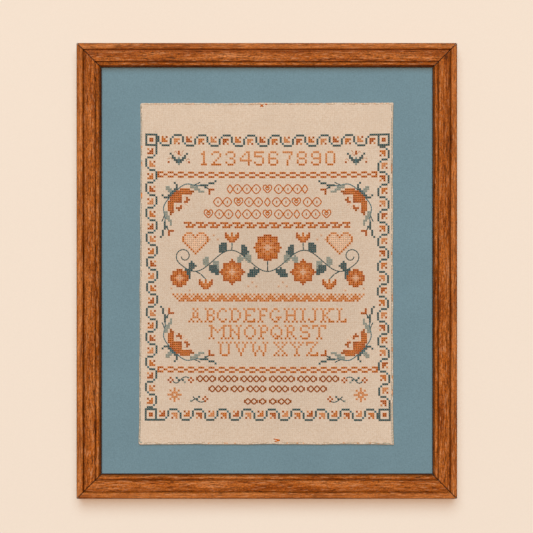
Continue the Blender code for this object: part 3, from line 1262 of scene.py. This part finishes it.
def stitch_small_flowers(work):
    """Buds beside the numerals, and the sprigs near the lower corners."""
    work.chart_both_sides(BUD_CHART, *BUD_PLACE)
    for petal in BUD_PETALS:
        work.line_both_sides("faded_orange", petal)

    work.chart_both_sides(SPRIG, *SPRIG_PLACE)
    for points in SPRIG_LINES:
        work.line_both_sides("dark_teal", points, "stem")

    for points in TACKING:
        work.line("rust", points, "bold")
    work.line("grey_green", LOOSE_END, "stem")


def plait(start_column, eyes, wide, row, tall):
    """Two lines that wave against each other and leave a row of eyes between them."""
    steps_in_eye = 5
    lines = []
    for side in (-1, 1):
        points = []
        for step in range(eyes * steps_in_eye + 1):
            share = step / steps_in_eye
            points.append((start_column + wide * share, row + side * tall / 2 * math.sin(math.pi * share)))
        lines.append(points)
    return lines


def small_heart(column, row, size):
    shape = ((0, 0.45), (-0.5, -0.05), (-0.42, -0.42), (-0.15, -0.45), (0, -0.2))
    left = [(column + a * size, row + b * size) for a, b in shape]
    right = [(column - a * size, row + b * size) for a, b in reversed(shape)]
    return left + right


def diamond(column, row, wide, tall):
    shape = ((0, -0.5), (0.5, 0), (0, 0.5), (-0.5, 0), (0, -0.5))
    return [(column + a * wide, row + b * tall) for a, b in shape]


def stitch_plait_rows(work):
    """Three rows of orange plaits, hearts and diamonds in the upper panel."""
    middle = COLUMNS / 2
    tall = 4.4
    eye_width = 4.6
    rows = (
        # row, hearts, diamonds, plaits as start and number of eyes, all to the right of the middle
        (26.2, (0.0,), (18.4,), ((3.2, 3),)),
        (32.4, (14.2,), (0.0,), ((2.2, 2), (17.4, 2))),
        (38.2, (0.0, 29.0), (14.4,), ((3.2, 2), (16.8, 2))),
    )
    for row, hearts, diamonds, plaits in rows:
        shapes = [(place, small_heart(middle + place, row, tall)) for place in hearts]
        shapes += [(place, small_heart(middle + place, row - 0.2, tall * 0.4)) for place in hearts]
        shapes += [(place, diamond(middle + place, row, 3.0, tall)) for place in diamonds]
        for place, eyes in plaits:
            shapes += [(place, points) for points in plait(middle + place, eyes, eye_width, row, tall)]
            for eye in range(eyes):
                column = middle + (place + eye_width * (eye + 0.5))
                shapes.append((place, [(column, row - 0.7), (column, row + 0.7)]))
        for place, points in shapes:
            draw = work.line_both_sides if place else work.line
            draw("burnt_orange", points, "bold")


def cells_near(column, row, reach):
    """Cells about a place, with how far to the right of it and below it their middles lie."""
    reach = math.ceil(reach) + 1
    for cell_row in range(math.floor(row) - reach, math.floor(row) + reach + 1):
        for cell_column in range(math.floor(column) - reach, math.floor(column) + reach + 1):
            yield cell_column, cell_row, cell_column + 0.5 - column, cell_row + 0.5 - row


def flower(work, column, row, radius):
    """A round flower of eight petals, lighter from its rim to its middle."""
    for cell_column, cell_row, right, low in cells_near(column, row, radius):
        share = math.hypot(right, low) / radius
        petal = 0.5 + 0.5 * math.cos(8 * math.atan2(low, right))
        if share > 0.90 + 0.14 * petal:
            continue
        colour = "rust"
        if share < 0.86 and (petal > 0.25 or share < 0.45):
            colour = "mid_orange"
        if share < 0.56 and petal > 0.60:
            colour = "light_orange"
        if share < 0.24:
            colour = "peach"
        work.cross_both_sides(colour, cell_column, cell_row)


def leaf(work, colour, column, row, length, width, turn):
    """A pointed leaf from its stalk outwards. turn is in degrees, anticlockwise from the right."""
    ahead = (math.cos(math.radians(turn)), -math.sin(math.radians(turn)))
    for cell_column, cell_row, right, low in cells_near(column, row, length):
        along = (right * ahead[0] + low * ahead[1]) / length
        aside = abs(right * ahead[1] - low * ahead[0])
        if 0 <= along <= 1 and aside <= width / 2 * math.sin(math.pi * along ** 0.8):
            work.cross_both_sides(colour, cell_column, cell_row)


def vine_row(column):
    """The row of the vine, which waves across the middle panel."""
    return VINE_ROW + VINE_SWING * math.cos(2 * math.pi * (column - COLUMNS / 2) / VINE_PERIOD)


def stitch_vine(work):
    """The middle panel: a waving vine with flowers, tulips, leaves and a heart near each end."""
    vine = [(column, vine_row(column)) for column in range(COLUMNS // 2, VINE_END - 1, -1)]
    curl_column = VINE_END - CURL_RADIUS * math.cos(math.radians(CURL_START))
    curl_row = vine_row(VINE_END) - CURL_RADIUS * math.sin(math.radians(CURL_START))
    curl = []
    for step in range(CURL_STEPS + 1):
        turn = math.radians(CURL_START + CURL_TURN * step)
        reach = CURL_RADIUS * (1 - CURL_TIGHTENS * step / CURL_STEPS)
        curl.append((curl_column + reach * math.cos(turn), curl_row + reach * math.sin(turn)))
    for points in (vine, curl):
        work.line_both_sides("dark_teal", points, "stem")

    # Leaves grow from both sides of the vine, with flowers in its bends and buds on short stalks
    for colour, column, side, length, width, turn in VINE_LEAVES:
        leaf(work, colour, column, vine_row(column) + 0.4 * side, length, width, turn)
    for place in VINE_FLOWERS:
        flower(work, *place)
    for place in TULIP_PLACES:
        work.chart_both_sides(TULIP, *place)
    work.chart_both_sides(HEART, *HEART_PLACE)
    for stalk in VINE_STALKS:
        work.line_both_sides("dark_teal", stalk, "stem")
    for column, row in VINE_BERRIES:
        work.cross_both_sides("peach", column, row)


def stitch_lower_rows(work):
    """Rows of brown diamonds, and a light star on either side."""
    middle = COLUMNS / 2
    wide = 3.0
    rows = (
        # row, height, runs of diamonds to the right of the middle as start and number
        (117.8, 3.3, ((1.0, 4), (14.8, 3), (25.6, 3))),
        (122.6, 3.3, ((1.0, 3), (11.8, 2), (19.6, 3))),
        (128.6, 3.0, ((1.0, 1), (5.2, 2))),
    )
    for row, tall, runs in rows:
        for start, count in runs:
            for step in range(count):
                place = middle + start + wide * (step + 0.5)
                work.line_both_sides("brown", diamond(place, row, wide, tall), "heavy")
            for end in (start - 0.15, start + wide * count + 0.15):
                bar = [(middle + end, row - tall * 0.3), (middle + end, row + tall * 0.3)]
                work.line_both_sides("brown", bar, "stem")
    work.chart_both_sides(STAR, *STAR_PLACE)


# Threads along the cloth's edge


def straight_part(side):
    """The length of one side, and where its straight part starts and ends."""
    x, z, radius = CLOTH_CORNERS[side]
    next_x, next_z, next_radius = CLOTH_CORNERS[(side + 1) % 4]
    length = math.hypot(next_x - x, next_z - z)
    return length, radius, length - next_radius


def edge_place(side, share, inset, lift):
    """A place in the row frame, from the cloth's edge inwards and above its face."""
    x, z = edge_point(side, share, inset)
    return x, -(CLOTH_FRONT + lift), z + MIDDLE.z


def make_overcast(material):
    """Stitches that wrap the cloth's edge."""
    wraps = []
    for side in range(4):
        length, start, end = straight_part(side)
        for step in range(int((end - start) / OVERCAST_PITCH)):
            uneven = OVERCAST_UNEVEN * float(steady_random(step, side))
            along = (start + OVERCAST_PITCH * (step + 0.5) + uneven) / length
            path = []
            for share in (0.0, 0.25, 0.5, 0.75, 1.0):
                angle = share * math.pi / 2
                inset = OVERCAST_INSET + OVERCAST_REACH * (1 - math.sin(angle))
                lean = (share - 0.5) * OVERCAST_LEAN / length
                lift = EDGE_LIFT - OVERCAST_REACH * (1 - math.cos(angle))
                path.append(edge_place(side, along + lean, inset, lift))
            wraps.append(path)
    width = np.array([0.6, 1.0, 1.1, 1.0, 0.7]) * OVERCAST_WIDTH
    strand_mesh("overcast_edge", wraps, width, OVERCAST_HEIGHT, material, phase=0.5)


def make_edge_threads(materials):
    """Threads that run along the edge here and there, and the broken lines inside it."""
    for index, (side, inset, width, first, last, colour) in enumerate(EDGE_RUNS):
        path = []
        for station in range(9):
            share = first + (last - first) * station / 8
            stray = EDGE_STRAY * noise_at(share * 90, index, 2.5)
            path.append(edge_place(side, share, inset + stray, RUN_LIFT))
        body = np.array([0.5, 0.9, 1.0, 1.0, 1.0, 1.0, 1.0, 0.9, 0.5])
        name = "edge_run_" + str(index)
        strand_mesh(name, [path], width * body, EDGE_THREAD_HEIGHT, materials[colour], phase=0.5)

    for index, (side, inset, width, dash, covered, colour) in enumerate(EDGE_LINES):
        length, start, end = straight_part(side)
        dashes = []
        for step in range(int((end - start) / dash)):
            if float(steady_random(step, index + 0.5)) > covered:
                continue
            path = []
            for station in range(5):
                along = start + dash * (step + 0.04 + 0.92 * station / 4)
                stray = EDGE_STRAY * noise_at(along * 300, index, 0.5)
                path.append(edge_place(side, along / length, inset + stray, EDGE_LIFT))
            dashes.append(path)
        body = np.array([0.6, 1.0, 1.0, 1.0, 0.6])
        name = "edge_line_" + str(index) + "_" + colour
        strand_mesh(name, dashes, width * body, EDGE_THREAD_HEIGHT, materials[colour], phase=0.5)


# Stage, light and camera


def make_stage():
    """A pale floor under the frame and a pale wall just behind it."""
    floor_height = CAD_BOX[0].z - FLOOR_BELOW
    low, high = -STAGE_REACH, STAGE_REACH
    corners = [(x, y, floor_height) for x, y in ((low, low), (high, low), (high, high), (low, high))]
    paint = Look("stage_floor").dress(FLOOR_PAINT, 0.9, 0.5)
    floor = make_mesh("stage_floor", corners, [(0, 1, 2, 3)], paint)

    # The wall can be seen from the front only, so that the back of the part shows too
    look = Look("stage_wall")
    place = look.node("ShaderNodeTexCoord", output="Object")
    # Painted shade: the wall grows a little darker towards the bottom
    shade = place.parts()[2].remapped(CAD_BOX[0].z, CAD_BOX[1].z, 0.975, 1.0)
    shade = shade * look.noise(place, 900.0, 2.0, 0.8).remapped(0.3, 0.7, 0.985, 1.015)
    look.dress(look.mix(1.0, WALL_PAINT, shade, "MULTIPLY"), 1.0, 0.0)
    behind = look.node("ShaderNodeNewGeometry", output="Backfacing")
    clear = look.node("ShaderNodeBsdfTransparent")
    painted = Value(look, look.shader.outputs[0])
    mixed = look.node("ShaderNodeMixShader", {0: behind, 1: painted, 2: clear})
    look.connect(look.tree.nodes["Material Output"], {"Surface": mixed})
    sides = ((low, floor_height), (high, floor_height), (high, high), (low, high))
    corners = [(x, WALL_BEHIND, z) for x, z in sides]
    wall = make_mesh("stage_wall", corners, [(0, 1, 2, 3)], look.material)
    wall.visible_transmission = False
    for plane in (floor, wall):
        plane.visible_diffuse = False
        plane.visible_glossy = False
        plane.visible_shadow = False


def add_light(name, kind, place, towards, power, colour):
    data = bpy.data.lights.new(name, kind)
    data.energy = power
    data.color = colour
    light = add_object(name, data)
    light.location = place
    light.rotation_euler = towards.to_track_quat("-Z", "Y").to_euler()
    return data


def add_sun(name, direction, spread, strength, colour):
    """Even light from far off. direction is degrees to the right and up, seen from the front."""
    aside, up = (math.radians(turn) for turn in direction)
    place = Vector((math.sin(aside) * math.cos(up), -math.cos(aside) * math.cos(up), math.sin(up)))
    data = add_light(name, "SUN", MIDDLE + place * 2.0, -place, strength, colour)
    data.angle = math.radians(spread)


def make_lights():
    """Warm light from the front, cooler light from above, and a little from all round."""
    add_sun("front_soft", (0.0, 1.0), 20.0, 2.11, (1.0, 0.719, 0.541))
    add_sun("overhead_soft", (-2.0, 28.0), 46.0, 2.723, (0.591, 0.838, 1.0))
    place = Vector((0.6, 2.2, MIDDLE.z + 1.0))
    data = add_light("back_soft", "AREA", place, MIDDLE - place, 30.0, (1.0, 1.0, 1.0))
    data.shape = "RECTANGLE"
    data.size, data.size_y = (1.6, 1.2)
    world = bpy.data.worlds.new("studio")
    world.use_nodes = True
    background = world.node_tree.nodes["Background"]
    background.inputs["Color"].default_value = (1.0, 0.90, 0.80, 1.0)
    background.inputs["Strength"].default_value = 0.085
    bpy.context.scene.world = world
    bpy.context.scene.view_settings.view_transform = "Standard"


def make_camera():
    data = bpy.data.cameras.new("camera")
    data.lens = CAMERA_LENS
    data.sensor_width = 36.0
    camera = add_object("camera", data)
    camera.location = (CAMERA_X, -CAMERA_DISTANCE, MIDDLE.z + CAMERA_ABOVE_MIDDLE)
    camera.rotation_euler = (math.pi / 2, 0.0, 0.0)
    bpy.context.scene.camera = camera


def main():
    make_camera()
    for rail in RAILS:
        make_rail(*rail)
    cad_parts["mat_board"].data.materials[0] = board_material()
    cloth = make_cloth(cloth_material())

    materials = {name: thread_material(name, *look) for name, look in THREADS.items()}
    work = Work()
    stitch_border(work)
    stitch_bands(work)
    stitch_figures(work)
    stitch_sprays(work)
    stitch_small_flowers(work)
    stitch_plait_rows(work)
    stitch_vine(work)
    stitch_lower_rows(work)
    for colour, cells in work.crosses.items():
        make_crosses("crosses_" + colour, cells, materials[colour])
    for (colour, weight), lines in work.lines.items():
        name = "backstitch_" + weight + "_" + colour
        make_lines(name, lines, LINE_WIDTHS[weight], materials[colour])
    make_overcast(materials["cream"])
    make_edge_threads(materials)

    make_stage()
    make_lights()


main()
